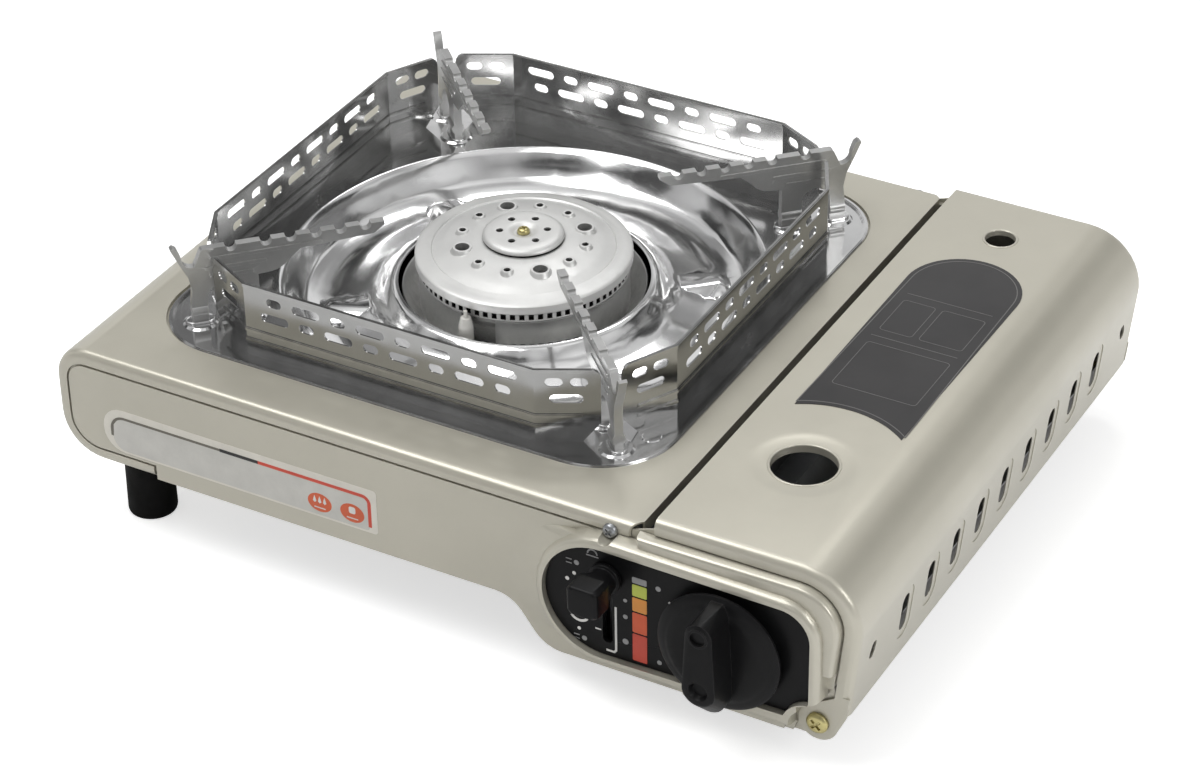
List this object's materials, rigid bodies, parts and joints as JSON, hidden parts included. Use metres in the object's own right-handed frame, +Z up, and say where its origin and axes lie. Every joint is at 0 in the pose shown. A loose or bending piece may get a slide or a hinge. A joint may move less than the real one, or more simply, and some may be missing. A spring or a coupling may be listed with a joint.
{
  "type": "portable gas stove",
  "caption": "Portable cassette gas stove with a hinged cartridge lid, a lift-out chrome pan, toothed pot supports, slotted windscreens, a knob and a lock lever.",
  "frame": {"origin": "centre of the overall footprint, on the table under the feet", "axes": "+X from the burner side towards the cartridge lid, +Y from the control panel towards the back, +Z up"},
  "size_m": [0.355, 0.2982, 0.12],
  "materials": {
    "painted_shell": "satin",
    "plated_steel": "satin",
    "rubber": "matte",
    "brass": "satin",
    "black_plastic": "satin",
    "cast_alloy": "matte",
    "wire_sleeve": "matte",
    "ceramic": "glossy",
    "burner_alloy": "matte",
    "bright_steel": "mirror",
    "support_steel": "satin"
  },
  "bodies": {
    "base": {"base_tray": "painted_shell", "top_cover": "painted_shell", "front_panel": "painted_shell", "back_panel": "painted_shell", "partition_wall": "plated_steel", "bay_bulkhead": "plated_steel", "bay_cradle": "plated_steel", "left_feet": "rubber", "right_feet": "rubber", "cover_screws": "plated_steel", "hinge_screws": "brass", "fascia": "black_plastic", "lever_guide": "plated_steel", "regulator_body": "cast_alloy", "regulator_collar": "brass", "gas_nozzle": "brass", "mixing_tube": "plated_steel", "piezo_unit": "black_plastic", "igniter_lead": "wire_sleeve", "electrode": "ceramic", "electrode_bracket": "plated_steel", "burner_body": "burner_alloy", "burner_skirt": "bright_steel", "port_ring": "burner_alloy", "burner_cap": "burner_alloy", "cap_disc": "burner_alloy", "cap_screw": "brass"},
    "lid": {"cartridge_lid": "painted_shell"},
    "knob": {"control_knob": "black_plastic", "valve_spindle": "brass"},
    "lever": {"lever_button": "black_plastic", "cam_plate": "plated_steel"},
    "carriage": {"cartridge_carriage": "plated_steel", "carriage_pin": "plated_steel"},
    "pan_set": {"drip_pan": "bright_steel", "leg_collars": "bright_steel", "windscreen_left": "bright_steel", "windscreen_right": "bright_steel", "windscreen_front": "bright_steel", "windscreen_back": "bright_steel", "support_front_left": "support_steel", "support_front_right": "support_steel", "support_back_left": "support_steel", "support_back_right": "support_steel"}
  },
  "joints": [
    {"name": "lid_hinge", "type": "hinge", "parent": "base", "child": "lid", "pos_m": [0.1617, 0.01185, 0.0214], "axis": [0, 1, 0], "range_deg": [0, 90]},
    {"name": "knob_turn", "type": "hinge", "parent": "base", "child": "knob", "pos_m": [0.125, -0.12315, 0.0465], "axis": [0, -1, 0], "range_deg": [0, 120]},
    {"name": "lever_slide", "type": "slide", "parent": "base", "child": "lever", "axis": [0, 0, -1], "range_m": [0, 0.024]},
    {"name": "carriage_slide", "type": "slide", "parent": "base", "child": "carriage", "axis": [0, -1, 0], "range_m": [0, 0.006]},
    {"name": "pan_lift", "type": "slide", "parent": "base", "child": "pan_set", "axis": [0, 0, 1], "range_m": [0, 0.06]}
  ],
  "couplings": [
    {"joint": "carriage_slide", "follows": "lever_slide", "ratio": 0.25}
  ]
}
